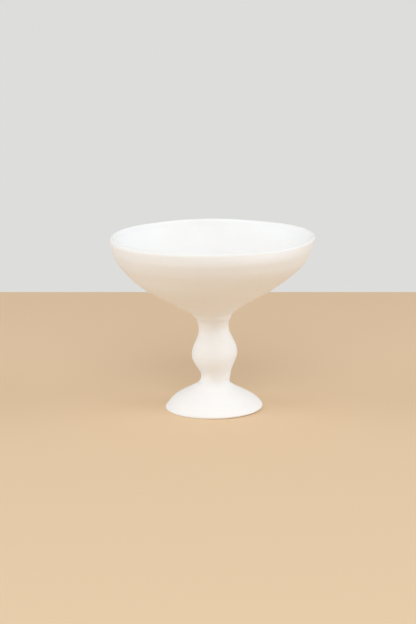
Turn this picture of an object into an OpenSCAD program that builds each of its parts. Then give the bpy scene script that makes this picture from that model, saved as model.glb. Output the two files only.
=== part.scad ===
// Footed compote bowl: a wide round bowl on a baluster stem and a domed foot, held by one hidden screw.
// Millimetres, standing on z = 0, middle line of the stem on the z axis, +z up.

/* [Bowl] */
// Width of the bowl across the outside of its lip
rim_diameter = 178; // [150:1:210]
// Mean height from the table to the top of the lip
overall_height = 153.5; // [142:0.5:175]
// Solid height between the stem and the middle of the bowl's inner floor
floor_thickness = 12; // [11:0.5:15]
// Thickness of the wall at the lip
lip_thickness = 3.8; // [3:0.1:5]
// Height over which the lip is rounded off
lip_round = 2.2; // [1.4:0.1:3]
// How far the belly of the hand-made bowl sits to the left of the stem
belly_shift = 4.4; // [0:0.1:6]
// How much higher the right side of the lip stands than its mean height
rim_rise = 0.65; // [0:0.05:1.5]
// Height of the gentle wave that runs round the lip
rim_wave = 0.35; // [0:0.05:0.8]

/* [Stem] */
// Height of the stem between the seam on the foot and the seam under the bowl
stem_height = 57.5; // [52:0.5:63]
// Width of the knop, the widest place of the stem
knop_diameter = 40; // [34:0.5:48]
// Width of the narrow neck above the foot
lower_neck_diameter = 25.4; // [22:0.2:30]
// Width of the narrow neck under the bowl
upper_neck_diameter = 26.2; // [22:0.2:30]

/* [Foot] */
// Width of the foot at its widest place
foot_diameter = 86; // [76:1:100]
// Height of the foot from the table to the seam under the stem
foot_height = 22.5; // [20.5:0.5:26]
// Width of the flat ring the foot stands on
standing_ring_width = 4.3; // [3.5:0.1:6]
// Thickness of the middle of the foot, between its hollow and the stem
hub_thickness = 9.9; // [9:0.1:11]

/* [Fixings] */
// Width of the round spigots that centre the three cast pieces
spigot_diameter = 14; // [13:0.5:15]
// Length of the spigot under the bowl
bowl_spigot_length = 6; // [5:0.5:8]
// Length of the spigot under the stem
stem_spigot_length = 5; // [4:0.2:5.4]
// Outside diameter of the screw thread
screw_diameter = 6; // [5:0.5:6]
// Width of the screw head
screw_head_diameter = 10; // [9:0.5:11]
// Height of the screw head
screw_head_height = 6; // [4:0.5:6.5]
// Width across the flats of the key hole in the screw head
key_width = 5; // [4:0.5:5]
// Depth of the key hole in the screw head
key_depth = 3; // [2:0.5:3.5]
// Length of thread held by the threaded insert
thread_engagement = 7; // [5:0.5:9]
// Width of the washer
washer_diameter = 16; // [13:0.5:20]
// Thickness of the washer
washer_thickness = 1.6; // [1:0.1:2]
// Outside diameter of the threaded insert
insert_diameter = 9; // [8:0.2:9.4]
// Length of the threaded insert
insert_length = 10; // [9:0.5:11]

/* [Clearances] */
// Gap round a spigot in its socket
spigot_clearance = 0.15; // [0.1:0.05:0.3]
// Gap beyond the end of a spigot
socket_end_clearance = 0.4; // [0.2:0.1:0.5]
// Gap round the screw where it passes freely
screw_clearance = 0.3; // [0.2:0.05:0.5]
// Gap between the screw and the insert's thread
thread_clearance = 0.05; // [0.05:0.01:0.1]
// Film of resin round the threaded insert
insert_clearance = 0.05; // [0.05:0.01:0.1]
// Free depth of the screw hole above the insert
screw_run_out = 2; // [1:0.5:2.5]

/* [Hidden] */
// Sides of the hand-shaped bowl and of the true round pieces
sides = 72;
round_sides = 96;
hex_sides = 6;
full_turn = 360;
half_turn = 180;
// Steps of the curve between two outline points
bowl_steps = 2;
round_steps = 3;
lip_steps = 6;
// Every cut runs this far past the face it opens, and every join this far into its neighbour
overrun = 1;

rim_radius = rim_diameter / 2;
lip_middle = rim_radius - lip_thickness / 2;
inner_radius = rim_radius - lip_thickness;
bowl_seam = foot_height + stem_height;
bowl_height = overall_height - bowl_seam;
lip_base = overall_height - lip_round;
floor_height = bowl_seam + floor_thickness;
bowl_depth = overall_height - floor_height;

knop_radius = knop_diameter / 2;
lower_neck_radius = lower_neck_diameter / 2;
upper_neck_radius = upper_neck_diameter / 2;
foot_radius = foot_diameter / 2;

// Share of the way from the neck to the knop that the stem flares at its two ends
lower_flare_share = 0.16;
upper_flare_share = 0.22;
stem_foot_radius = lower_neck_radius + lower_flare_share * (knop_radius - lower_neck_radius);
stem_top_radius = upper_neck_radius + upper_flare_share * (knop_radius - upper_neck_radius);

hub_underside = foot_height - hub_thickness;
head_seat = hub_underside - washer_thickness;
spigot_radius = spigot_diameter / 2;
socket_radius = spigot_radius + spigot_clearance;
stem_socket_floor = bowl_seam - bowl_spigot_length - socket_end_clearance;
foot_socket_floor = foot_height - stem_spigot_length - socket_end_clearance;
screw_radius = screw_diameter / 2;
screw_hole_radius = screw_radius + screw_clearance;
insert_radius = insert_diameter / 2;
insert_bottom = bowl_seam - bowl_spigot_length;
insert_top = insert_bottom + insert_length;
screw_tip = insert_bottom + thread_engagement;

// Outside of the bowl: share of the way from the stem's top to the lip, share of the bowl's height
bowl_outer_shares = [
    [0.000, 0.000], [0.012, 0.018], [0.026, 0.044], [0.046, 0.074], [0.089, 0.106], [0.149, 0.142],
    [0.214, 0.179], [0.290, 0.223], [0.409, 0.291], [0.530, 0.361], [0.664, 0.458], [0.792, 0.569],
    [0.902, 0.693], [0.974, 0.826], [0.996, 0.915]
];
// Inside of the bowl, lip to middle: share of the inner radius, share of the depth
bowl_inner_shares = [
    [0.994, 0.898], [0.968, 0.792], [0.896, 0.634], [0.788, 0.485], [0.663, 0.353], [0.530, 0.237],
    [0.432, 0.161], [0.345, 0.102], [0.240, 0.050], [0.125, 0.014]
];
// Place of the bowl's middle: share of the bowl's height, share of the belly's shift
belly_shift_shares = [
    [0.00, 0.00], [0.05, 0.30], [0.11, 0.75], [0.18, 0.97], [0.28, 1.00], [0.42, 0.93], [0.64, 0.70],
    [0.82, 0.49], [1.00, 0.29]
];
// Lower half of the stem: share of the way from neck to knop, share of the stem's height
stem_lower_shares = [
    [lower_flare_share, 0.000], [0.050, 0.022], [0.000, 0.060], [0.030, 0.120], [0.150, 0.180],
    [0.425, 0.250], [0.720, 0.322], [0.925, 0.393], [1.000, 0.459]
];
// Upper half of the stem, measured in the same way
stem_upper_shares = [
    [0.950, 0.518], [0.800, 0.581], [0.570, 0.643], [0.310, 0.715], [0.100, 0.786], [0.000, 0.857],
    [0.036, 0.920], [0.130, 0.974], [upper_flare_share, 1.000]
];
// Outside of the foot: share of the way from the stem to the widest place, share of its height
foot_outer_shares = [
    [0.955, 0.000], [0.988, 0.020], [1.000, 0.055], [0.978, 0.110], [0.905, 0.200], [0.815, 0.311],
    [0.702, 0.444], [0.545, 0.578], [0.362, 0.711], [0.205, 0.822], [0.085, 0.916], [0.000, 1.000]
];
// Hollow under the foot: share of its mouth's radius, share of its height
foot_hollow_shares = [
    [1.000, 0.000], [0.992, 0.120], [0.960, 0.280], [0.890, 0.476], [0.800, 0.675], [0.696, 0.857],
    [0.610, 0.968], [0.548, 1.000]
];
standing_radius = stem_foot_radius + foot_outer_shares[0][0] * (foot_radius - stem_foot_radius);
hollow_radius = standing_radius - standing_ring_width;

// Smooth curve through four points at the share t between the middle two
function curve_point(a, b, c, d, t) =
    b + t * ((c - a) + t * ((2 * a - 5 * b + 4 * c - d) + t * (3 * b - a - 3 * c + d))) / 2;
// Smooth line through all the points, with the given steps between each two
function smooth_line(points, steps) =
    let (last = len(points) - 1)
    [
        for (i = [0:last - 1], k = [0:steps - 1])
            curve_point(
                points[max(i - 1, 0)], points[i], points[i + 1], points[min(i + 2, last)], k / steps
            ),
        points[last]
    ];
// Points from share pairs: the first share between two radii, the second up from a base height
function share_points(shares, from_radius, to_radius, base, height) =
    [for (s = shares) [from_radius + s[0] * (to_radius - from_radius), base + s[1] * height]];

// Value read between share pairs, eased between the two that hold t
function share_between(pairs, t) =
    let (i = min(max([for (k = [0:len(pairs) - 1]) pairs[k][0] <= t ? k : 0]), len(pairs) - 2))
    let (u = min(max((t - pairs[i][0]) / (pairs[i + 1][0] - pairs[i][0]), 0), 1))
    curve_point(
        pairs[max(i - 1, 0)][1], pairs[i][1], pairs[i + 1][1],
        pairs[min(i + 2, len(pairs) - 1)][1], u
    );

// Height share at which a point of the bowl lies, and its middle line there
function bowl_share(z) = min(max((z - bowl_seam) / bowl_height, 0), 1);
function bowl_middle(z) = -belly_shift * share_between(belly_shift_shares, bowl_share(z));
// Rise of the hand-made bowl: a tilt to the right and a gentle wave of four crests, fading downwards
wave_crests = 4;
function bowl_rise(r, z, angle) =
    pow(bowl_share(z), 2) * r / rim_radius
    * (rim_rise * cos(angle) + rim_wave * cos(wave_crests * angle));
function bowl_point(p, angle) = [
    bowl_middle(p[1]) + p[0] * cos(angle),
    p[0] * sin(angle),
    p[1] + bowl_rise(p[0], p[1], angle)
];

bowl_outline = concat(
    [[0, bowl_seam]],
    smooth_line(
        concat(
            share_points(bowl_outer_shares, stem_top_radius, rim_radius, bowl_seam, bowl_height),
            [[rim_radius, lip_base]]
        ),
        bowl_steps
    ),
    [
        for (k = [1:lip_steps - 1])
            [
                lip_middle + lip_thickness / 2 * cos(k * half_turn / lip_steps),
                lip_base + lip_round * sin(k * half_turn / lip_steps)
            ]
    ],
    smooth_line(
        concat(
            [[inner_radius, lip_base]],
            share_points(bowl_inner_shares, 0, inner_radius, floor_height, bowl_depth),
            [[0, floor_height]]
        ),
        bowl_steps
    )
);

// Corner numbers and faces of a closed skin whose first and last points lie on the middle line
function corner(row, side) = 1 + row * sides + side % sides;
function skin_faces(rows) = [
    for (s = [0:sides - 1]) [0, corner(0, s), corner(0, s + 1)],
    for (r = [0:rows - 2], s = [0:sides - 1]) [corner(r, s), corner(r + 1, s), corner(r + 1, s + 1)],
    for (r = [0:rows - 2], s = [0:sides - 1]) [corner(r, s), corner(r + 1, s + 1), corner(r, s + 1)],
    for (s = [0:sides - 1]) [rows * sides + 1, corner(rows - 1, s + 1), corner(rows - 1, s)]
];
bowl_rows = len(bowl_outline) - 2;
bowl_points = [
    bowl_point(bowl_outline[0], 0),
    for (r = [1:bowl_rows], s = [0:sides - 1]) bowl_point(bowl_outline[r], s * full_turn / sides),
    bowl_point(bowl_outline[bowl_rows + 1], 0)
];

stem_outline = smooth_line(
    concat(
        share_points(stem_lower_shares, lower_neck_radius, knop_radius, foot_height, stem_height),
        share_points(stem_upper_shares, upper_neck_radius, knop_radius, foot_height, stem_height)
    ),
    round_steps
);
foot_outline = smooth_line(
    share_points(foot_outer_shares, stem_foot_radius, foot_radius, 0, foot_height),
    round_steps
);
hollow_outline = smooth_line(
    share_points(foot_hollow_shares, 0, hollow_radius, 0, hub_underside),
    round_steps
);

// The wide bowl, with a spigot below and a blind hole for the insert and the screw's end
module bowl() {
    color("#F6F4EF")
    difference() {
        union() {
            polyhedron(points = bowl_points, faces = skin_faces(bowl_rows), convexity = 4);
            translate([0, 0, insert_bottom])
            cylinder(r = spigot_radius, h = bowl_spigot_length + overrun, $fn = round_sides);
        }
        translate([0, 0, insert_bottom - overrun])
        cylinder(
            r = insert_radius + insert_clearance, h = insert_length + overrun, $fn = round_sides
        );
        translate([0, 0, insert_bottom])
        cylinder(r = screw_hole_radius, h = insert_length + screw_run_out, $fn = round_sides);
    }
}

// Brass bush cast into the bowl's spigot, threaded for the screw
module threaded_insert() {
    color("#C9A45C")
    translate([0, 0, insert_bottom])
    difference() {
        cylinder(r = insert_radius, h = insert_length, $fn = round_sides);
        translate([0, 0, -overrun])
        cylinder(
            r = screw_radius + thread_clearance, h = insert_length + 2 * overrun, $fn = round_sides
        );
    }
}

// Baluster stem: neck, knop, neck, with a spigot below and a socket on top
module stem() {
    color("#F4F1EB")
    difference() {
        union() {
            rotate_extrude($fn = round_sides)
            polygon(concat([[0, foot_height]], stem_outline, [[0, bowl_seam]]));
            translate([0, 0, foot_height - stem_spigot_length])
            cylinder(r = spigot_radius, h = stem_spigot_length + overrun, $fn = round_sides);
        }
        translate([0, 0, stem_socket_floor])
        cylinder(
            r = socket_radius, h = bowl_seam - stem_socket_floor + overrun, $fn = round_sides
        );
        translate([0, 0, foot_height - stem_spigot_length - overrun])
        cylinder(
            r = screw_hole_radius, h = stem_height + stem_spigot_length + overrun, $fn = round_sides
        );
    }
}

// Domed foot, hollow below, with a flat hub for the washer and a socket for the stem
module foot() {
    color("#F6F4EF")
    difference() {
        rotate_extrude($fn = round_sides)
        polygon(concat([[0, 0]], foot_outline, [[0, foot_height]]));
        rotate_extrude($fn = round_sides)
        polygon(
            concat([[0, -overrun], [hollow_radius, -overrun]], hollow_outline, [[0, hub_underside]])
        );
        translate([0, 0, foot_socket_floor])
        cylinder(
            r = socket_radius, h = foot_height - foot_socket_floor + overrun, $fn = round_sides
        );
        translate([0, 0, hub_underside - overrun])
        cylinder(r = screw_hole_radius, h = hub_thickness + overrun, $fn = round_sides);
    }
}

// Flat washer under the hub of the foot
module washer() {
    color("#B9BBBE")
    translate([0, 0, head_seat])
    difference() {
        cylinder(d = washer_diameter, h = washer_thickness, $fn = round_sides);
        translate([0, 0, -overrun])
        cylinder(r = screw_hole_radius, h = washer_thickness + 2 * overrun, $fn = round_sides);
    }
}

// Socket head screw that pulls foot, stem and bowl together
module tie_screw() {
    color("#A9ACB0")
    difference() {
        union() {
            translate([0, 0, head_seat - screw_head_height])
            cylinder(d = screw_head_diameter, h = screw_head_height, $fn = round_sides);
            translate([0, 0, head_seat - overrun])
            cylinder(r = screw_radius, h = screw_tip - head_seat + overrun, $fn = round_sides);
        }
        translate([0, 0, head_seat - screw_head_height - overrun])
        cylinder(
            d = key_width / cos(half_turn / hex_sides), h = key_depth + overrun, $fn = hex_sides
        );
    }
}

bowl();
threaded_insert();
stem();
foot();
washer();
tie_screw();
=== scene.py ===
import math

import bpy
import numpy as np
from bpy.props import FloatProperty, FloatVectorProperty, IntProperty, PointerProperty
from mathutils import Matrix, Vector


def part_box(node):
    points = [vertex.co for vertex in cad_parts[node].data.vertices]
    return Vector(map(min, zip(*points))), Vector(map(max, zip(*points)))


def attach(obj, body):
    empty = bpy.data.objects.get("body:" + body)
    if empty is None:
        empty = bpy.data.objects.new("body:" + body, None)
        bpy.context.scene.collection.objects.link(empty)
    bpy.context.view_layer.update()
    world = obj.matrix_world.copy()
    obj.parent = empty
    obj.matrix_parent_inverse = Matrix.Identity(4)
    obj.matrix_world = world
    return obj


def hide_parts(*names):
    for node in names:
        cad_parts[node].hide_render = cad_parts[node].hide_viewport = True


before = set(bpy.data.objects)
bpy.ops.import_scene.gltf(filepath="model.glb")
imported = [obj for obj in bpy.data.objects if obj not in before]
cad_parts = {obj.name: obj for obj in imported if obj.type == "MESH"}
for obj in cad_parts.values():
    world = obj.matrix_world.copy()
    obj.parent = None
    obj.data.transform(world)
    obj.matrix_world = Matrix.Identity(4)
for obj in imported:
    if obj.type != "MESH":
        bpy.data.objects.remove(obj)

bl_info = {
    "name": "Footed compote bowl",
    "version": (1, 0, 0),
    "blender": (4, 5, 0),
    "location": "3D View > Sidebar > Compote",
    "description": "Builds a matte white footed bowl in three resin castings with its hidden screw",
    "category": "Object",
}

# Units. The frame and every mesh are in metres, and small sizes are written in millimetres.
MM = 0.001
FULL_TURN = 2 * math.pi

# Sizes read from the frame
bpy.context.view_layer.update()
BOWL_LOW, BOWL_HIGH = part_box("bowl")
STEM_LOW, STEM_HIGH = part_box("stem")
FOOT_LOW, FOOT_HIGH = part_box("foot")
INSERT_LOW, INSERT_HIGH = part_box("threaded_insert")
WASHER_LOW, WASHER_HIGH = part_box("washer")
SCREW_LOW, SCREW_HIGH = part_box("tie_screw")
FOOT_SEAM = FOOT_HIGH.z
BOWL_SEAM = STEM_HIGH.z
HUB_UNDERSIDE = WASHER_HIGH.z
HEAD_SEAT = WASHER_LOW.z

# Outside of the bowl: share of the way from the stem's top to the lip, share of the bowl's height
BOWL_OUTER_SHARES = [
    (0.000, 0.000), (0.012, 0.018), (0.026, 0.044), (0.046, 0.074), (0.089, 0.106), (0.149, 0.142),
    (0.214, 0.179), (0.290, 0.223), (0.409, 0.291), (0.530, 0.361), (0.664, 0.458), (0.790, 0.569),
    (0.900, 0.693), (0.959, 0.826), (0.985, 0.915),
]
# Inside of the bowl, lip to middle: share of the inner radius, share of the depth
BOWL_INNER_SHARES = [
    (0.994, 0.898), (0.968, 0.792), (0.896, 0.634), (0.788, 0.485), (0.663, 0.353), (0.530, 0.237),
    (0.432, 0.161), (0.345, 0.102), (0.240, 0.050), (0.125, 0.014),
]
# Place of the bowl's middle: share of the bowl's height, share of the belly's shift
BELLY_SHIFT_SHARES = [
    (0.00, 0.25), (0.05, 0.42), (0.11, 0.78), (0.18, 0.98), (0.28, 1.05), (0.42, 1.00), (0.64, 0.66),
    (0.82, 0.52), (0.93, 0.43), (1.00, 0.31),
]
# Wall against its plain round, front left and back right: share of the bowl's height, share of
# fullness
LEFT_FULLNESS_SHARES = [
    (0.00, 0.0), (0.25, 0.0), (0.45, 0.6), (0.65, -0.7), (0.84, 0.3), (1.00, 0.0),
]
# The same, front right and back left, where it is flatter at the belly and fuller under the lip
RIGHT_FULLNESS_SHARES = [
    (0.00, 0.0), (0.25, 0.0), (0.45, -1.4), (0.65, -0.7), (0.75, 0.5), (0.86, 1.4), (0.92, 1.1),
    (0.98, -0.1), (1.00, 0.0),
]
# Height of the lip: share of a turn from the right by the back, share of the rim's rise
RIM_RISE_SHARES = [
    (0.000, 0.83), (0.056, 1.00), (0.097, 0.78), (0.139, 0.35), (0.181, 0.17), (0.250, 0.43),
    (0.306, 0.04), (0.347, -0.39), (0.389, -0.35), (0.431, -0.39), (0.500, -0.43), (0.569, -0.61),
    (0.625, -0.65), (0.694, -0.17), (0.750, 0.22), (0.819, 0.04), (0.889, 0.13), (0.944, 0.48),
    (1.000, 0.83),
]
# Place of the stem's middle: share of the stem's height, share of its sway
STEM_SWAY_SHARES = [
    (0.000, 0.25), (0.035, 0.58), (0.096, 1.00), (0.160, 0.94), (0.220, 0.52), (0.287, 0.21),
    (0.365, 0.02), (0.440, 0.25), (0.510, 0.49), (0.580, 0.63), (0.640, 0.67), (0.720, 0.50),
    (0.780, 0.23), (0.826, 0.00), (0.880, -0.25), (0.930, -0.53), (1.000, -0.76),
]
# Lower and upper half of the stem: share of the way from neck to knop, share of the height
STEM_LOWER_SHARES = [
    (0.160, 0.000), (0.050, 0.022), (0.000, 0.060), (0.030, 0.120), (0.150, 0.180), (0.425, 0.250),
    (0.720, 0.322), (0.925, 0.393), (1.000, 0.459),
]
STEM_UPPER_SHARES = [
    (0.950, 0.518), (0.800, 0.581), (0.570, 0.643), (0.310, 0.715), (0.100, 0.786), (0.000, 0.857),
    (0.036, 0.920), (0.130, 0.974), (0.220, 1.000),
]
# Front and back of the stem against its sides, fuller at the underside of the knop: share of the
# stem's height, share of fullness
STEM_FULLNESS_SHARES = [
    (0.000, 0.00), (0.060, 0.05), (0.120, 0.30), (0.190, 0.80), (0.250, 1.15), (0.300, 1.20),
    (0.360, 0.98), (0.420, 0.62), (0.470, 0.32), (0.520, 0.12), (0.600, 0.00), (1.000, 0.00),
]
# Outside of the foot: share of the way from the stem to the widest place, share of the height
FOOT_OUTER_SHARES = [
    (0.940, 0.000), (0.967, 0.015), (0.981, 0.055), (0.967, 0.110), (0.914, 0.200), (0.833, 0.311),
    (0.708, 0.444), (0.533, 0.578), (0.340, 0.711), (0.182, 0.822), (0.062, 0.916), (0.000, 1.000),
]
# Place of the foot's middle: share of the foot's height, share of the stem's sway. The turn at the
# bottom is fuller on the right, so the standing ring sits to the left and the dome to the right.
FOOT_SWAY_SHARES = [
    (0.000, -0.85), (0.055, 0.28), (0.110, 0.56), (0.250, 0.54), (0.444, 0.20), (0.650, -0.02),
    (0.822, -0.04), (1.000, 0.25),
]
# Hollow under the foot: share of its mouth's radius, share of its height
FOOT_HOLLOW_SHARES = [
    (1.000, 0.000), (0.992, 0.120), (0.960, 0.280), (0.890, 0.476), (0.800, 0.675), (0.696, 0.857),
    (0.610, 0.968), (0.548, 1.000),
]

# Points of the curves: steps between two points of a line, of the foot's hollow and of a table of
# shares, points round the lip, steps round a corner, and the most of a side that a corner takes
CURVE_STEPS = 7
HOLLOW_STEPS = 6
TABLE_STEPS = 16
LIP_POINTS = 20
CORNER_STEPS = 4
CORNER_SHARE = 0.4
# Depth under the lip's top at which the outside's round has blended into the wall, and how far
# below level the lip's round starts, so that it leaves the wall without a crease
LIP_BLEND = 20 * MM
LIP_START = math.radians(-10)
# How far to either side of the front the wall's two fullness lists count in full, how much sooner
# the lip's round ends there than at the sides, and how narrowly they and the stem's list count
FULL_LEAN = math.radians(30)
LIP_ROUND_LESS = 0.9 * MM
BOWL_FULL_POWER = 4
STEM_FULL_POWER = 2
# Fuller front of the neck: its middle's height over the seam, how far it reaches, and how far it
# leans to the right
NECK_FULL_ABOVE = 5 * MM
NECK_FULL_SPAN = 8 * MM
NECK_FULL_LEAN = math.radians(18)
# Soft swells: the crests of each wave round the piece and its rise, in millimetres of height a
# radian, how steeply they grow from a casting's ends, and where each casting's waves start
SWELL_WAVES = ((2, 17), (3, -11), (5, 23))
SWELL_FADE = 6
STEM_SWELL_FADE = 12
BOWL_PHASE = 0.6
STEM_PHASE = 2.1
FOOT_PHASE = 4.4
# Sizes of the joints between the castings, all hidden
SPIGOT_GAP = 0.15 * MM
SOCKET_END_GAP = 0.4 * MM
SCREW_GAP = 0.3 * MM
INSERT_GAP = 0.05 * MM
SCREW_RUN_OUT = 2 * MM
HIDDEN_ROUND = 0.3 * MM
# Fixings: faces round each, the screw's shank and the radius of the hole that clears it, and the
# screw's thread with the rows of its mesh
FIXING_SIDES = 96
SCREW_RADIUS = 3 * MM
SCREW_HOLE = SCREW_RADIUS + SCREW_GAP
THREAD_PITCH = 1 * MM
THREAD_DEPTH = 0.55 * MM
THREADED_LENGTH = 24 * MM
THREAD_ROWS = 193
# Screw's key hole, its width at the mouth and the cone that the drill left at its floor, then the
# head with its knurl, and the cut at the tip
KEY_WIDTH = 5 * MM
KEY_MOUTH = 5.8 * MM
KEY_DEPTH = 3 * MM
KEY_CONE = 0.8 * MM
HEAD_CHAMFER = 0.6 * MM
HEAD_KNURL = 0.12 * MM
HEAD_TEETH = 36
TIP_CUT = 0.8 * MM
TIP_CUT_LENGTH = 0.9 * MM
# Insert: rows of its mesh, share of its length that is plain at each end and at either side of the
# middle, how steeply a band starts, the knurl's teeth, how many of them it leans over its length,
# its depth and the groove's, and the depth of the thread and of the lead-in to it
INSERT_ROWS = 101
INSERT_PLAIN = 0.06
BAND_STEEPNESS = 30
INSERT_TEETH = 24
INSERT_TWIST = 6
INSERT_KNURL = 0.25 * MM
INSERT_GROOVE = 0.3 * MM
INSERT_THREAD = 0.3 * THREAD_DEPTH
LEAD_IN = 0.35 * MM
LEAD_IN_STEEPNESS = 12
# How far inside its edge the washer's outline is joined
WASHER_JOIN = 1.2 * MM
# Cast resin: sizes of its patterns in millimetres, how far the sanding marks are drawn out round
# the piece, how deep they are and how far light goes in, and where each casting's pattern starts
CLOUD_SIZE = 28
SANDING_SPACING = 0.6
GRAIN_SIZE = 0.35
SANDING_STRETCH = (0.15, 0.15, 1.0)
SANDING_DEPTH = 0.03 * MM
RESIN_GLOW_DEPTH = 2.5 * MM
BOWL_PATTERN = (3, 11, 7)
STEM_PATTERN = (-20, 5, 31)
FOOT_PATTERN = (14, -9, -23)
# Turned metal: how far its marks are drawn out and how deep they are, size in millimetres of the
# places that handling has touched, and what it does to their roughness and their tone
TURNING_STRETCH = (0.05, 0.05, 1.0)
TURNING_DEPTH = 0.01 * MM
HANDLING_SIZE = 3
HANDLING_SMOOTHS = 0.05
HANDLING_DULLS = 0.08
HANDLING_DARKENS = 0.85
# Roughness of each metal and the spacing of its turning marks in millimetres
INSERT_FINISH = (0.3, 0.15)
WASHER_FINISH = (0.38, 0.4)
SCREW_FINISH = (0.34, 0.2)
# Part of a noise's range in which most of it lies
NOISE_MIDDLE = {"From Min": 0.3, "From Max": 0.7}
# Camera, from the photograph: a long lens a metre and a half away, a little above. Its pitch is in
# degrees and its lens in millimetres
CAMERA_PLACE = (-5.25 * MM, -1482 * MM, 415.8 * MM)
CAMERA_PITCH = 12.56
CAMERA_LENS = 100.0
# Edges of the floor, behind, in front and at each side
FLOOR_BACK = 491 * MM
FLOOR_FRONT = -560 * MM
FLOOR_HALF_WIDTH = 800 * MM
# Light: each lamp's name, place in metres, power in watts and colour, the side of the square lamps,
# the place that they face, and the strength of the light from all round
LAMPS = (
    ("front_window", (0.0, -1.5, 1.7), 12.9, "daylight"),
    ("front_fill", (0.0, -2.0, 0.9), 7.1, "skylight"),
    ("left_fill", (-2.0, -0.3, 0.9), 16.0, "skylight"),
    ("right_fill", (2.0, -0.3, 0.9), 17.7, "skylight"),
)
LAMP_SIZE = 1.6
LAMP_AIM = (0, 0, 0.09)
ROOM_STRENGTH = 0.546


def linear(hex_colour):
    """sRGB hex digits to linear red, green and blue: the curve (c + 0.055) / 1.055 to the power 2.4,
    with a straight piece near black."""
    c = np.array([int(hex_colour[i:i + 2], 16) / 255 for i in (0, 2, 4)])
    return tuple(float(v) for v in np.where(c <= 0.04045, c / 12.92, ((c + 0.055) / 1.055) ** 2.4))


class CompoteSizes(bpy.types.PropertyGroup):
    """Sizes of the bowl that can't be read from the frame's boxes, and how fine its meshes are"""

    lip_thickness: FloatProperty(
        name="Lip", description="Thickness of the wall at the lip", default=3.8 * MM, unit="LENGTH"
    )
    inner_lip_round: FloatProperty(
        name="Inner lip round", description="Height over which the lip's inside is rounded",
        default=3.2 * MM, unit="LENGTH",
    )
    right_lip_round: FloatProperty(
        name="Right lip round",
        description="Height over which the lip's outside is rounded on the right",
        default=1.6 * MM, unit="LENGTH",
    )
    left_lip_round: FloatProperty(
        name="Left lip round",
        description="Height over which the lip's outside is rounded on the left",
        default=4 * MM, unit="LENGTH",
    )
    fullness: FloatProperty(
        name="Fullness",
        description="How much fuller the wall and the knop are where the fullness share is 1",
        default=1.1 * MM, unit="LENGTH",
    )
    neck_fullness: FloatProperty(
        name="Neck fullness", description="How much fuller the neck is at its front and back",
        default=3.3 * MM, unit="LENGTH",
    )
    rim_drop: FloatProperty(
        name="Rim drop", description="How far the lip's mean height is under its highest point",
        default=1 * MM, unit="LENGTH",
    )
    rim_rise: FloatProperty(
        name="Rim rise", description="How far the right of the hand-shaped lip rises over the mean",
        default=1.15 * MM, unit="LENGTH",
    )
    belly_shift: FloatProperty(
        name="Belly shift", description="How far the belly sits to the left", default=4.4 * MM,
        unit="LENGTH",
    )
    stem_sway: FloatProperty(
        name="Stem sway", description="How far the hand-shaped stem leaves its middle line",
        default=1.45 * MM, unit="LENGTH",
    )
    unevenness: FloatProperty(
        name="Unevenness", description="Height of the soft swells that hand sanding leaves",
        default=0.14 * MM, unit="LENGTH",
    )
    floor_thickness: FloatProperty(
        name="Bowl floor", description="Solid height under the middle of the bowl", default=12 * MM,
        unit="LENGTH",
    )
    lower_neck: FloatProperty(
        name="Lower neck", description="Width of the neck above the foot", default=25.4 * MM,
        unit="LENGTH",
    )
    upper_neck: FloatProperty(
        name="Upper neck", description="Width of the neck under the bowl", default=26.2 * MM,
        unit="LENGTH",
    )
    standing_ring: FloatProperty(
        name="Standing ring", description="Width of the ring the foot stands on",
        default=3.9 * MM, unit="LENGTH",
    )
    spigot: FloatProperty(
        name="Spigot", description="Width of the spigots that centre the castings",
        default=14 * MM, unit="LENGTH",
    )
    sides: IntProperty(
        name="Sides", description="Faces round each casting", default=192, min=24
    )


class CompoteColours(bpy.types.PropertyGroup):
    """Colours of the castings, the fixings and the plain stage, in linear light"""

    resin: FloatVectorProperty(
        name="Resin", description="White of the castings", default=linear("F5F5F4"), subtype="COLOR"
    )
    resin_shade: FloatVectorProperty(
        name="Resin shade", description="Slightly warmer white in the castings",
        default=linear("F3F2EF"), subtype="COLOR",
    )
    brass: FloatVectorProperty(
        name="Brass", description="Threaded insert", default=linear("D8B264"), subtype="COLOR"
    )
    steel: FloatVectorProperty(
        name="Zinc steel", description="Screw and washer", default=linear("C3C5C8"), subtype="COLOR"
    )
    floor: FloatVectorProperty(
        name="Floor", description="Pale warm floor", default=linear("E6CAA7"), subtype="COLOR"
    )
    backdrop: FloatVectorProperty(
        name="Backdrop", description="Pale wall", default=linear("DDDDDB"), subtype="COLOR"
    )
    room: FloatVectorProperty(
        name="Room light", description="Light from all round, thrown back by a pale warm room",
        default=linear("FFF8F0"), subtype="COLOR",
    )
    daylight: FloatVectorProperty(
        name="Daylight", description="Light of the high lamp in front", default=linear("FCFDFF"),
        subtype="COLOR",
    )
    skylight: FloatVectorProperty(
        name="Skylight", description="Slightly cooler light of the three low lamps",
        default=linear("E2F0FF"), subtype="COLOR",
    )


def smooth_line(points, steps=CURVE_STEPS):
    """Smooth curve through all the points: between two of them, b + t((c-a) + t((2a-5b+4c-d) +
    t(3b-a-3c+d))) / 2, where a and d are the points before and after and t runs from 0 to 1."""
    p = np.asarray(points, float)
    a = np.vstack([p[:1], p[:-2]])[:, None]
    b = p[:-1][:, None]
    c = p[1:][:, None]
    d = np.vstack([p[2:], p[-1:]])[:, None]
    t = (np.arange(steps) / steps)[None, :, None]
    line = b + t * ((c - a) + t * ((2 * a - 5 * b + 4 * c - d) + t * (3 * b - a - 3 * c + d))) / 2
    return np.vstack([line.reshape(-1, p.shape[1]), p[-1:]])


def share_points(shares, from_radius, to_radius, base, height):
    """Radius and height of each share pair: from_radius plus a share of the way to to_radius, and
    base plus a share of height."""
    s = np.asarray(shares, float)
    radius = from_radius + s[:, 0] * (to_radius - from_radius)
    return np.column_stack([radius, base + s[:, 1] * height])


def share_between(pairs, t):
    """Value of the smooth line through the share pairs at each t, by straight steps of a fine
    line."""
    fine = smooth_line(pairs, TABLE_STEPS)
    return np.interp(t, fine[:, 0], fine[:, 1])


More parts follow.
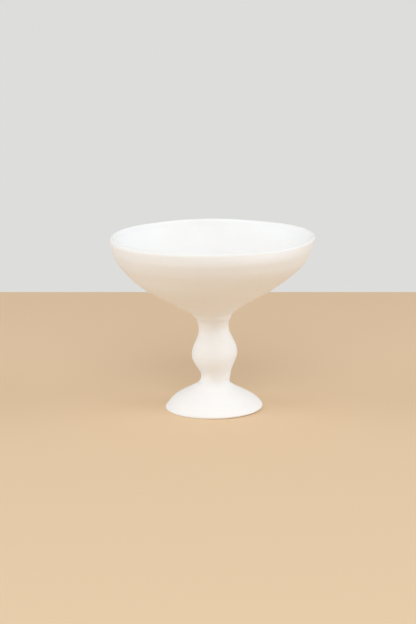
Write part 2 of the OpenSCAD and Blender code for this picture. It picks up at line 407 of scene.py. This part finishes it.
def corner_rounds(points):
    """Outline with each corner replaced by a curve: a parabola from a point before the corner to
    one after it, HIDDEN_ROUND or at most CORNER_SHARE of a side away, pulled to the corner."""
    p = np.asarray(points, float)
    corner = p[1:-1]
    back, ahead = p[:-2] - corner, p[2:] - corner
    back_length = np.linalg.norm(back, axis=1, keepdims=True)
    ahead_length = np.linalg.norm(ahead, axis=1, keepdims=True)
    cut = np.minimum(HIDDEN_ROUND, CORNER_SHARE * np.minimum(back_length, ahead_length))
    start = (corner + back / back_length * cut)[:, None]
    end = (corner + ahead / ahead_length * cut)[:, None]
    t = np.linspace(0, 1, CORNER_STEPS + 1)[:, None]
    curve = (1 - t) ** 2 * start + 2 * t * (1 - t) * corner[:, None] + t ** 2 * end
    return np.vstack([p[:1], curve.reshape(-1, 2), p[-1:]])


def side_angles(sides):
    """Angle of each side of a ring, from the right over the back: the side's share of a turn."""
    return np.arange(sides) * FULL_TURN / sides


def swells(angle, height, share, phase, fade=SWELL_FADE):
    """Soft swells of hand sanding: a third of the unevenness times three waves, sin(crests angle +
    millimetres of height / rise + the wave's number times phase), each with its own crests and rise
    so that no two places match, times fade share (1 - share), at most 1, which spares the ends."""
    waves = sum(
        np.sin(count * angle + height / MM / rise + number * phase)
        for number, (count, rise) in enumerate(SWELL_WAVES, 1)
    )
    size = bpy.context.scene.compote_sizes.unevenness / len(SWELL_WAVES)
    return size * waves * np.clip(share * (1 - share) * fade, 0, 1)


def front_weight(angle, lean, power):
    """How near an angle is to the front or back, both turned by lean, from 0 to 1: sin(angle -
    lean) to an even power."""
    return np.sin(angle - lean) ** power


def grid_mesh(name, grid, low_cap=None, high_cap=None, loop=False):
    """Mesh of a grid of points, rows by sides, closed round its sides. loop joins the last row to
    the first; a cap is a point that closes an end row with a fan. Faces point outwards."""
    rows, sides = grid.shape[:2]
    index = np.arange(rows * sides).reshape(rows, sides)
    upper = np.roll(index, -1, axis=0) if loop else index[1:]
    lower = index if loop else index[:-1]
    corners = [lower, np.roll(lower, -1, 1), np.roll(upper, -1, 1), upper]
    quads = np.stack(corners, -1).reshape(-1, 4)
    points, fans = [grid.reshape(-1, 3)], []
    for cap, row in ((low_cap, index[0][::-1]), (high_cap, index[-1])):
        if cap is not None:
            tip = np.full(sides, rows * sides + len(fans))
            fans.append(np.column_stack([row, np.roll(row, -1), tip]))
            points.append(np.asarray(cap, float)[None])
    points = np.vstack(points)
    faces = quads.tolist() + [face for fan in fans for face in fan.tolist()]
    # The volume that the quads enclose comes out negative where they point inwards
    place = points[quads]
    swept = np.cross(place[:, 2] - place[:, 0], place[:, 3] - place[:, 1])
    if np.sum(place.mean(1) * swept) < 0:
        faces = [face[::-1] for face in faces]
    mesh = bpy.data.meshes.new(name)
    mesh.from_pydata(points.tolist(), [], faces)
    mesh.polygons.foreach_set("use_smooth", np.ones(len(faces), bool))
    mesh.validate()
    mesh.update()
    return mesh


def ring_grid(angle, radius, height, middle=0.0):
    """Grid of points, a ring a row: x = middle + radius cos(angle), y = radius sin(angle) and z =
    height. Radius, height and middle are one value a row, or rows by sides."""
    r, z, x = (np.asarray(v, float) for v in (radius, height, middle))
    r, z, x = (v[:, None] if v.ndim == 1 else v for v in (r, z, x))
    x, y, z = np.broadcast_arrays(x + r * np.cos(angle), r * np.sin(angle), z)
    return np.stack([x, y, z], -1)


def add_piece(name, mesh, material, node):
    """Links the mesh as a piece that rides on the object's one body in place of its solid."""
    piece = bpy.data.objects.new(name, mesh)
    bpy.context.scene.collection.objects.link(piece)
    mesh.materials.append(material)
    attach(piece, "root")
    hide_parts(node)


def add_node(tree, kind, inputs, **settings):
    """Adds a node of that kind, with its own settings, and fills its inputs: an output socket is
    linked and anything else is set as the input's value."""
    node = tree.nodes.new(kind)
    for key, value in settings.items():
        setattr(node, key, value)
    for key, value in inputs.items():
        if isinstance(value, bpy.types.NodeSocket):
            tree.links.new(value, node.inputs[key])
        else:
            node.inputs[key].default_value = value
    return node


def per_metre(size_mm):
    """Noise scale that gives features of about this size, in millimetres, on Object coordinates."""
    return 1 / (size_mm * MM)


def new_material(name):
    """An empty node material and its tree."""
    material = bpy.data.materials.new(name)
    material.use_nodes = True
    material.node_tree.nodes.clear()
    return material, material.node_tree


def cast_resin(name, pattern_start):
    """Polyester casting resin filled with white powder, poured and then sanded by hand. It is an
    even, slightly translucent white, matt, with faint clouds from the filler and fine sanding
    marks that catch light only at a low angle."""
    colours = bpy.context.scene.compote_colours
    material, tree = new_material(name)
    place = add_node(tree, "ShaderNodeTexCoord", {}).outputs["Object"]
    moved = add_node(
        tree, "ShaderNodeMapping", {"Vector": place, "Location": [mm * MM for mm in pattern_start]}
    ).outputs["Vector"]
    # Filler settles in wide, faint clouds, a little warmer and rougher than the rest
    clouds = add_node(
        tree, "ShaderNodeTexNoise",
        {"Vector": moved, "Scale": per_metre(CLOUD_SIZE), "Detail": 3.0, "Roughness": 0.5},
    )
    tint = add_node(
        tree, "ShaderNodeMapRange",
        {"Value": clouds.outputs["Fac"], **NOISE_MIDDLE, "To Min": 0.0, "To Max": 1.0},
    )
    colour = add_node(
        tree, "ShaderNodeMix",
        {
            "Factor": tint.outputs["Result"],
            "A": (*colours.resin, 1),
            "B": (*colours.resin_shade, 1),
        },
        data_type="RGBA",
    )
    rough = add_node(
        tree, "ShaderNodeMapRange",
        {"Value": clouds.outputs["Fac"], **NOISE_MIDDLE, "To Min": 0.62, "To Max": 0.7},
    )
    # Sanding marks, about 4 mm long, lie round the piece. They are drawn coarser than the 0.1 mm
    # grit that made them so that they show
    stretched = add_node(
        tree, "ShaderNodeMapping", {"Vector": moved, "Scale": SANDING_STRETCH}
    ).outputs["Vector"]
    marks = add_node(
        tree, "ShaderNodeTexNoise",
        {"Vector": stretched, "Scale": per_metre(SANDING_SPACING), "Detail": 2.0, "Roughness": 0.6},
    )
    # Powder grain of the matt skin
    grain = add_node(
        tree, "ShaderNodeTexNoise",
        {"Vector": moved, "Scale": per_metre(GRAIN_SIZE), "Detail": 1.0, "Roughness": 0.5},
    )
    relief = add_node(
        tree, "ShaderNodeMath", {0: marks.outputs["Fac"], 1: grain.outputs["Fac"]}, operation="ADD"
    )
    bump = add_node(
        tree, "ShaderNodeBump",
        {"Height": relief.outputs["Value"], "Strength": 0.35, "Distance": SANDING_DEPTH},
    )
    shader = add_node(
        tree, "ShaderNodeBsdfPrincipled",
        {
            "Base Color": colour.outputs["Result"],
            "Roughness": rough.outputs["Result"],
            "Normal": bump.outputs["Normal"],
            "IOR": 1.5,
            "Specular IOR Level": 0.3,
            "Subsurface Weight": 0.12,
            "Subsurface Radius": (1.0, 0.8, 0.6),
            "Subsurface Scale": RESIN_GLOW_DEPTH,
        },
    )
    add_node(tree, "ShaderNodeOutputMaterial", {"Surface": shader.outputs["BSDF"]})
    return material


def turned_metal(name, colour, roughness, mark_spacing):
    """Bar metal turned on a lathe: fine rings left by the tool, so the gloss is drawn out round
    the piece, with a slightly uneven shine from handling."""
    material, tree = new_material(name)
    place = add_node(tree, "ShaderNodeTexCoord", {}).outputs["Object"]
    rings = add_node(
        tree, "ShaderNodeMapping", {"Vector": place, "Scale": TURNING_STRETCH}
    ).outputs["Vector"]
    marks = add_node(
        tree, "ShaderNodeTexNoise",
        {"Vector": rings, "Scale": per_metre(mark_spacing), "Detail": 2.0, "Roughness": 0.6},
    )
    handling = add_node(
        tree, "ShaderNodeTexNoise",
        {"Vector": place, "Scale": per_metre(HANDLING_SIZE), "Detail": 2.0},
    )
    rough = add_node(
        tree, "ShaderNodeMapRange",
        {
            "Value": handling.outputs["Fac"], **NOISE_MIDDLE,
            "To Min": roughness - HANDLING_SMOOTHS, "To Max": roughness + HANDLING_DULLS,
        },
    )
    tone = add_node(
        tree, "ShaderNodeMix",
        {
            "Factor": handling.outputs["Fac"],
            "A": (*colour, 1),
            "B": (*(HANDLING_DARKENS * c for c in colour), 1),
        },
        data_type="RGBA",
    )
    bump = add_node(
        tree, "ShaderNodeBump",
        {"Height": marks.outputs["Fac"], "Strength": 0.4, "Distance": TURNING_DEPTH},
    )
    shader = add_node(
        tree, "ShaderNodeBsdfPrincipled",
        {
            "Base Color": tone.outputs["Result"],
            "Roughness": rough.outputs["Result"],
            "Normal": bump.outputs["Normal"],
            "Metallic": 1.0,
        },
    )
    add_node(tree, "ShaderNodeOutputMaterial", {"Surface": shader.outputs["BSDF"]})
    return material


def floor_paint(name):
    """Matt emulsion on a flat board: one even, pale colour with hardly any gloss."""
    material, tree = new_material(name)
    colour = (*bpy.context.scene.compote_colours.floor, 1)
    shader = add_node(
        tree, "ShaderNodeBsdfPrincipled",
        {"Base Color": colour, "Roughness": 0.8, "Specular IOR Level": 0.2},
    )
    add_node(tree, "ShaderNodeOutputMaterial", {"Surface": shader.outputs["BSDF"]})
    return material


def lip_height():
    """Mean height of the lip: the frame's highest point less the lip's drop from it."""
    return BOWL_HIGH.z - bpy.context.scene.compote_sizes.rim_drop


def stem_ends():
    """Radius of the stem at its foot and at its top, where it flares a little: the end pair's share
    of the way from neck to knop."""
    sizes = bpy.context.scene.compote_sizes
    knop = STEM_HIGH.x
    lower, upper = sizes.lower_neck / 2, sizes.upper_neck / 2
    return (
        lower + STEM_LOWER_SHARES[0][0] * (knop - lower),
        upper + STEM_UPPER_SHARES[-1][0] * (knop - upper),
    )


def neck_fullness(height, angle):
    """How far the skin stands out at the front and back of the neck: neck_fullness times e to the
    power of minus ((z - middle) / span) squared, times the weight of the front."""
    away = (height - BOWL_SEAM - NECK_FULL_ABOVE) / NECK_FULL_SPAN
    full = bpy.context.scene.compote_sizes.neck_fullness * np.exp(-away ** 2)
    return full * front_weight(angle, NECK_FULL_LEAN, STEM_FULL_POWER)


def bowl_outline(rim, lip_top, floor):
    """Half outline of the bowl, from the blind hole's end by the spigot, wall, lip and inside to
    the middle of its floor, and whether each point shows and lies outside. The lip is two quarter
    ellipses: radius = rim - half + half cos(turn), height = lip_top - round (1 - sin(turn))."""
    sizes = bpy.context.scene.compote_sizes
    hole_end = INSERT_HIGH.z + SCREW_RUN_OUT
    bush = INSERT_HIGH.x + INSERT_GAP
    spigot = sizes.spigot / 2
    seam_radius = stem_ends()[1]
    hidden = corner_rounds([
        (SCREW_HOLE, hole_end), (SCREW_HOLE, INSERT_HIGH.z), (bush, INSERT_HIGH.z),
        (bush, BOWL_LOW.z), (spigot, BOWL_LOW.z), (spigot, BOWL_SEAM),
        (seam_radius, BOWL_SEAM),
    ])
    turn = np.linspace(LIP_START, math.pi, LIP_POINTS)
    before_top = turn < math.pi / 2
    half = sizes.lip_thickness / 2
    lip_round = np.where(before_top, sizes.right_lip_round, sizes.inner_lip_round)
    lip = np.column_stack(
        [rim - half + half * np.cos(turn), lip_top - lip_round * (1 - np.sin(turn))]
    )
    wall = share_points(BOWL_OUTER_SHARES, seam_radius, rim, BOWL_SEAM, lip_top - BOWL_SEAM)
    basin = share_points(BOWL_INNER_SHARES, 0, rim - sizes.lip_thickness, floor, lip_top - floor)
    outer = smooth_line(np.vstack([wall, lip[:1]]))
    inner = smooth_line(np.vstack([lip[-1:], basin, [(0, floor)]]))[:-1]
    outline = np.vstack([hidden[:-1], outer, lip[1:-1], inner])
    number = np.arange(len(outline))[:, None]
    shows = number >= len(hidden) - 1
    outside = shows & (number < len(hidden) - 1 + len(outer) + np.sum(before_top[1:-1]))
    return outline, shows, outside


def outer_lip_depth(depth, angle):
    """Depth under the lip's top of the points outside it, moved so that the lip's round ends at
    right_lip_round on the right and at left_lip_round on the left: h = right + (left - right) times
    the root of (1 - cos(angle)) / 2, less LIP_ROUND_LESS times the weights of both fronts, d
    becomes d h / right down to the round's end, and from there a straight line to LIP_BLEND, below
    which nothing moves."""
    sizes = bpy.context.scene.compote_sizes
    right, left = sizes.right_lip_round, sizes.left_lip_round
    end = right + (left - right) * np.sqrt((1 - np.cos(angle)) / 2)
    for lean in (-FULL_LEAN, FULL_LEAN):
        end -= LIP_ROUND_LESS * front_weight(angle, lean, BOWL_FULL_POWER)
    below = end + (depth - right) * (LIP_BLEND - end) / (LIP_BLEND - right)
    moved = np.where(depth < right, depth * end / right, below)
    return np.where(depth < LIP_BLEND, moved, depth)


class COMPOTE_OT_bowl(bpy.types.Operator):
    """Adds the wide bowl: a closed skin over lip, belly, spigot and the blind hole for the insert.
    Its outline is turned, moved sideways by the belly's shift, raised by the lip's rise times the
    share of the height squared and the share of the rim, and filled out at its two fronts"""

    bl_idname = "compote.bowl"
    bl_label = "Bowl"

    def execute(self, context):
        sizes = context.scene.compote_sizes
        rim = (BOWL_HIGH.y - BOWL_LOW.y) / 2
        lip_top = lip_height()
        floor = BOWL_SEAM + sizes.floor_thickness
        outline, shows, outside = bowl_outline(rim, lip_top, floor)
        angle = side_angles(sizes.sides)
        radius, height = outline[:, :1], outline[:, 1:]
        share = np.clip((height - BOWL_SEAM) / (lip_top - BOWL_SEAM), 0, 1)
        rim_rise = sizes.rim_rise * share_between(RIM_RISE_SHARES, angle / FULL_TURN)
        rise = share ** 2 * radius / rim * rim_rise
        full = neck_fullness(height, angle)
        fronts = ((LEFT_FULLNESS_SHARES, -FULL_LEAN), (RIGHT_FULLNESS_SHARES, FULL_LEAN))
        for shares, lean in fronts:
            weight = front_weight(angle, lean, BOWL_FULL_POWER)
            full = full + sizes.fullness * share_between(shares, share) * weight
        height = np.where(outside, lip_top - outer_lip_depth(lip_top - height, angle), height)
        soft = swells(angle, height, share, BOWL_PHASE) * shows * np.where(outside, 1, -1)
        middle = -sizes.belly_shift * share_between(BELLY_SHIFT_SHARES, share) * shows
        grid = ring_grid(angle, radius + soft + full * outside, height + rise, middle)
        hole_end = (0, 0, INSERT_HIGH.z + SCREW_RUN_OUT)
        floor_middle = (middle[-1, 0], 0, floor)
        mesh = grid_mesh("bowl_casting", grid, hole_end, floor_middle)
        material = cast_resin("bowl_cast_resin_hand_sanded", BOWL_PATTERN)
        add_piece("bowl_casting", mesh, material, "bowl")
        return {"FINISHED"}


class COMPOTE_OT_stem(bpy.types.Operator):
    """Adds the baluster stem with its spigot, socket and through hole as one closed skin. Its
    outline is turned, moved sideways by the stem's sway and filled out at the front and back"""

    bl_idname = "compote.stem"
    bl_label = "Stem"

    def execute(self, context):
        sizes = context.scene.compote_sizes
        knop = STEM_HIGH.x
        height = BOWL_SEAM - FOOT_SEAM
        spigot = sizes.spigot / 2
        socket = spigot + SPIGOT_GAP
        socket_floor = BOWL_LOW.z - SOCKET_END_GAP
        low_end, high_end = stem_ends()
        outer = smooth_line(np.vstack([
            share_points(STEM_LOWER_SHARES, sizes.lower_neck / 2, knop, FOOT_SEAM, height),
            share_points(STEM_UPPER_SHARES, sizes.upper_neck / 2, knop, FOOT_SEAM, height),
        ]))
        below = corner_rounds([
            (SCREW_HOLE, FOOT_SEAM), (SCREW_HOLE, STEM_LOW.z), (spigot, STEM_LOW.z),
            (spigot, FOOT_SEAM), (low_end, FOOT_SEAM),
        ])[:-1]
        above = corner_rounds([
            (high_end, BOWL_SEAM), (socket, BOWL_SEAM), (socket, socket_floor),
            (SCREW_HOLE, socket_floor), (SCREW_HOLE, FOOT_SEAM),
        ])[1:-1]
        outline = np.vstack([below, outer, above])
        shows = np.repeat([0, 1, 0], [len(below), len(outer), len(above)])[:, None]
        share = np.clip((outline[:, 1:] - FOOT_SEAM) / height, 0, 1)
        angle = side_angles(sizes.sides)
        middle = sizes.stem_sway * share_between(STEM_SWAY_SHARES, share) * shows
        soft = swells(angle, outline[:, 1:], share, STEM_PHASE, STEM_SWELL_FADE)
        weight = front_weight(angle, 0, STEM_FULL_POWER)
        full = sizes.fullness * share_between(STEM_FULLNESS_SHARES, share) * weight
        full = full + neck_fullness(outline[:, 1:], angle)
        grid = ring_grid(angle, outline[:, :1] + (soft + full) * shows, outline[:, 1:], middle)
        mesh = grid_mesh("stem_casting", grid, loop=True)
        material = cast_resin("stem_cast_resin_hand_sanded", STEM_PATTERN)
        add_piece("stem_casting", mesh, material, "stem")
        return {"FINISHED"}


class COMPOTE_OT_foot(bpy.types.Operator):
    """Adds the domed foot with its hollow, hub and socket as one closed skin. Its outline is
    turned and moved sideways by its own shares of the stem's sway"""

    bl_idname = "compote.foot"
    bl_label = "Foot"

    def execute(self, context):
        sizes = context.scene.compote_sizes
        ground = FOOT_LOW.z
        height = FOOT_SEAM - ground
        top = stem_ends()[0]
        outer = smooth_line(share_points(FOOT_OUTER_SHARES, top, FOOT_HIGH.y, ground, height))
        mouth = outer[0, 0] - sizes.standing_ring
        hollow = share_points(FOOT_HOLLOW_SHARES, 0, mouth, ground, HUB_UNDERSIDE - ground)
        hollow = smooth_line(hollow, HOLLOW_STEPS)[::-1]
        socket = sizes.spigot / 2 + SPIGOT_GAP
        socket_floor = STEM_LOW.z - SOCKET_END_GAP
        inside = corner_rounds([
            (top, FOOT_SEAM), (socket, FOOT_SEAM), (socket, socket_floor),
            (SCREW_HOLE, socket_floor), (SCREW_HOLE, HUB_UNDERSIDE), tuple(hollow[0]),
        ])[1:-1]
        outline = np.vstack([hollow, outer, inside])
        shows = np.repeat([0, 1, 0], [len(hollow), len(outer), len(inside)])[:, None]
        share = np.clip((outline[:, 1:] - ground) / height, 0, 1)
        angle = side_angles(sizes.sides)
        middle = sizes.stem_sway * share_between(FOOT_SWAY_SHARES, share) * shows
        soft = swells(angle, outline[:, 1:], share, FOOT_PHASE) * shows
        grid = ring_grid(angle, outline[:, :1] + soft, outline[:, 1:], middle)
        mesh = grid_mesh("foot_casting", grid, loop=True)
        material = cast_resin("foot_cast_resin_hand_sanded", FOOT_PATTERN)
        add_piece("foot_casting", mesh, material, "foot")
        return {"FINISHED"}


def crests(phase):
    """Even wave that rises from 0 to 1 and falls again once a turn of the phase: 0.5 - 0.5
    cos(phase)."""
    return 0.5 - 0.5 * np.cos(phase)


def thread_wave(height, angle):
    """Triangle wave between 0 and 1 along a right-handed screw line: twice the distance from 0.5 of
    the fraction left over in height / pitch - angle / turn."""
    turns = height[:, None] / THREAD_PITCH - angle / FULL_TURN
    return 2 * np.abs(turns % 1 - 0.5)


class COMPOTE_OT_insert(bpy.types.Operator):
    """Adds the brass insert: knurled in two bands outside and threaded inside. Outside it is the
    radius less the groove beyond the bands and less the knurl's crests on them, and inside it is
    the bore plus the thread, which fades out to a wider lead-in at both ends"""

    bl_idname = "compote.insert"
    bl_label = "Threaded insert"

    def execute(self, context):
        angle = side_angles(FIXING_SIDES)
        z = np.linspace(INSERT_LOW.z, INSERT_HIGH.z, INSERT_ROWS)
        share = ((z - INSERT_LOW.z) / (INSERT_HIGH.z - INSERT_LOW.z))[:, None]
        from_end = np.minimum(share, 1 - share)
        # Two knurled bands with a plain groove between them and plain ends
        band = np.clip((from_end - INSERT_PLAIN) * BAND_STEEPNESS, 0, 1)
        band *= np.clip((np.abs(share - 0.5) - INSERT_PLAIN) * BAND_STEEPNESS, 0, 1)
        teeth = crests(INSERT_TEETH * angle + INSERT_TWIST * share * FULL_TURN)
        outer = INSERT_HIGH.x - INSERT_GROOVE * (1 - band) - INSERT_KNURL * teeth * band
        fade = np.clip(from_end * LEAD_IN_STEEPNESS, 0, 1)
        thread = INSERT_THREAD * thread_wave(z - INSERT_LOW.z, angle) * fade
        inner = SCREW_RADIUS + INSERT_GAP + LEAD_IN * (1 - fade) + thread
        radius = np.vstack([outer, inner[::-1]])
        height = np.concatenate([z, z[::-1]])
        mesh = grid_mesh("insert_bush", ring_grid(angle, radius, height), loop=True)
        colours = context.scene.compote_colours
        material = turned_metal("insert_turned_brass", colours.brass, *INSERT_FINISH)
        add_piece("insert_bush", mesh, material, "threaded_insert")
        return {"FINISHED"}


class COMPOTE_OT_washer(bpy.types.Operator):
    """Adds the washer under the foot's hub: a rectangle with the rounded corners that stamping
    leaves, turned round the middle"""

    bl_idname = "compote.washer"
    bl_label = "Washer"

    def execute(self, context):
        low, high, outside = WASHER_LOW.z, WASHER_HIGH.z, WASHER_HIGH.y
        join = (outside - WASHER_JOIN, low)
        outline = corner_rounds([
            join, (outside, low), (outside, high), (SCREW_HOLE, high), (SCREW_HOLE, low), join,
        ])[:-1]
        grid = ring_grid(side_angles(FIXING_SIDES), outline[:, 0], outline[:, 1])
        mesh = grid_mesh("washer_disc", grid, loop=True)
        colours = context.scene.compote_colours
        material = turned_metal("washer_zinc_plated_steel", colours.steel, *WASHER_FINISH)
        add_piece("washer_disc", mesh, material, "washer")
        return {"FINISHED"}


class COMPOTE_OT_screw(bpy.types.Operator):
    """Adds the socket head screw: knurled head with a hexagonal key hole, shank and thread. The key
    hole's radius is half its width / cos(angle from the middle of the nearest flat), and the
    thread's is the shank's less the thread's wave, or less the cut at the tip where that is more"""

    bl_idname = "compote.screw"
    bl_label = "Tie screw"

    def execute(self, context):
        angle = side_angles(FIXING_SIDES)
        low, tip = SCREW_LOW.z, SCREW_HIGH.z
        thread_start = tip - THREADED_LENGTH
        key_floor = low + KEY_DEPTH
        head = SCREW_HIGH.y
        knurled = head - HEAD_KNURL * crests(HEAD_TEETH * angle)
        flat = FULL_TURN / 6
        key = KEY_WIDTH / 2 / np.cos(angle % flat - flat / 2)
        rows = [
            (key, key_floor), (key, low + HEAD_CHAMFER / 2), (np.maximum(key, KEY_MOUTH / 2), low),
            (head - HEAD_CHAMFER, low), (head, low + HEAD_CHAMFER),
            (knurled, low + 2 * HEAD_CHAMFER), (knurled, HEAD_SEAT - HEAD_CHAMFER),
            (head, HEAD_SEAT - HEAD_CHAMFER / 2), (head - HEAD_CHAMFER / 3, HEAD_SEAT),
            (SCREW_RADIUS + HEAD_CHAMFER / 3, HEAD_SEAT),
            (SCREW_RADIUS, HEAD_SEAT + HEAD_CHAMFER / 3), (SCREW_RADIUS, thread_start),
        ]
        z = np.linspace(thread_start, tip, THREAD_ROWS)[1:]
        fade = np.clip((z - z[0]) / THREAD_PITCH, 0, 1)[:, None]
        thread = THREAD_DEPTH * thread_wave(z, angle) * fade
        tip_cut = TIP_CUT * np.clip((z - tip) / TIP_CUT_LENGTH + 1, 0, 1)[:, None]
        plain = np.vstack([np.broadcast_to(radius, FIXING_SIDES) for radius, _ in rows])
        radius = np.vstack([plain, SCREW_RADIUS - np.maximum(thread, tip_cut)])
        height = np.concatenate([[level for _, level in rows], z])
        grid = ring_grid(angle, radius, height)
        mesh = grid_mesh("tie_screw_m6", grid, (0, 0, key_floor + KEY_CONE), (0, 0, tip))
        colours = context.scene.compote_colours
        material = turned_metal("screw_zinc_plated_steel", colours.steel, *SCREW_FINISH)
        add_piece("tie_screw_m6", mesh, material, "tie_screw")
        return {"FINISHED"}


def soft_room(scene):
    """Sets the world: even, faintly warm light from all round, with the pale backdrop in its place
    for the camera, for gloss and through glass, where the sum of the three rays is 1."""
    colours = scene.compote_colours
    world = bpy.data.worlds.new("soft_room")
    scene.world = world
    world.use_nodes = True
    tree = world.node_tree
    tree.nodes.clear()
    path = add_node(tree, "ShaderNodeLightPath", {})
    seen = add_node(
        tree, "ShaderNodeMath",
        {0: path.outputs["Is Camera Ray"], 1: path.outputs["Is Glossy Ray"]}, operation="ADD",
    )
    seen = add_node(
        tree, "ShaderNodeMath",
        {0: seen.outputs["Value"], 1: path.outputs["Is Transmission Ray"]},
        operation="ADD", use_clamp=True,
    )
    ambient = add_node(
        tree, "ShaderNodeBackground", {"Color": (*colours.room, 1), "Strength": ROOM_STRENGTH}
    )
    backdrop = add_node(
        tree, "ShaderNodeBackground", {"Color": (*colours.backdrop, 1), "Strength": 1.0}
    )
    mix = add_node(
        tree, "ShaderNodeMixShader",
        {0: seen.outputs["Value"], 1: ambient.outputs[0], 2: backdrop.outputs[0]},
    )
    add_node(tree, "ShaderNodeOutputWorld", {"Surface": mix.outputs[0]})


class COMPOTE_OT_stage(bpy.types.Operator):
    """Adds the plain pale floor, the soft studio light, the pale surroundings and the camera"""

    bl_idname = "compote.stage"
    bl_label = "Stage"

    def execute(self, context):
        scene = context.scene
        corners = [
            (-FLOOR_HALF_WIDTH, FLOOR_FRONT, 0), (FLOOR_HALF_WIDTH, FLOOR_FRONT, 0),
            (FLOOR_HALF_WIDTH, FLOOR_BACK, 0), (-FLOOR_HALF_WIDTH, FLOOR_BACK, 0),
        ]
        mesh = bpy.data.meshes.new("studio_floor")
        mesh.from_pydata(corners, [], [(0, 1, 2, 3)])
        mesh.materials.append(floor_paint("floor_matt_paint"))
        floor = bpy.data.objects.new("studio_floor", mesh)
        scene.collection.objects.link(floor)

        soft_room(scene)
        for name, spot, power, colour in LAMPS:
            light = bpy.data.lights.new(name, "AREA")
            light.shape = "SQUARE"
            light.size = LAMP_SIZE
            light.energy = power
            light.color = getattr(scene.compote_colours, colour)
            lamp = bpy.data.objects.new(name, light)
            lamp.location = spot
            aim = Vector(LAMP_AIM) - lamp.location
            lamp.rotation_euler = aim.to_track_quat("-Z", "Y").to_euler()
            scene.collection.objects.link(lamp)

        camera_data = bpy.data.cameras.new("photo_camera")
        camera_data.lens = CAMERA_LENS
        camera = bpy.data.objects.new("photo_camera", camera_data)
        camera.location = CAMERA_PLACE
        camera.rotation_euler = (math.radians(90 - CAMERA_PITCH), 0, 0)
        scene.collection.objects.link(camera)
        scene.camera = camera
        scene.view_settings.view_transform = "Standard"
        return {"FINISHED"}


OPERATORS = (
    COMPOTE_OT_bowl, COMPOTE_OT_stem, COMPOTE_OT_foot, COMPOTE_OT_insert, COMPOTE_OT_washer,
    COMPOTE_OT_screw, COMPOTE_OT_stage,
)


class COMPOTE_PT_sidebar(bpy.types.Panel):
    """Sidebar panel with the sizes, the colours and a button for each piece"""

    bl_label = "Footed compote bowl"
    bl_idname = "COMPOTE_PT_sidebar"
    bl_space_type = "VIEW_3D"
    bl_region_type = "UI"
    bl_category = "Compote"

    def draw(self, context):
        for group in (context.scene.compote_sizes, context.scene.compote_colours):
            box = self.layout.box()
            for name in group.bl_rna.properties.keys():
                if name not in ("rna_type", "name"):
                    box.prop(group, name)
        for operator in OPERATORS:
            self.layout.operator(operator.bl_idname)


CLASSES = (CompoteSizes, CompoteColours, *OPERATORS, COMPOTE_PT_sidebar)


def register():
    for cls in CLASSES:
        bpy.utils.register_class(cls)
    bpy.types.Scene.compote_sizes = PointerProperty(type=CompoteSizes)
    bpy.types.Scene.compote_colours = PointerProperty(type=CompoteColours)


def unregister():
    del bpy.types.Scene.compote_colours
    del bpy.types.Scene.compote_sizes
    for cls in reversed(CLASSES):
        bpy.utils.unregister_class(cls)


def main():
    register()
    bpy.ops.compote.bowl()
    bpy.ops.compote.stem()
    bpy.ops.compote.foot()
    bpy.ops.compote.insert()
    bpy.ops.compote.washer()
    bpy.ops.compote.screw()
    bpy.ops.compote.stage()
    bpy.context.view_layer.update()


if __name__ == "__main__":
    main()
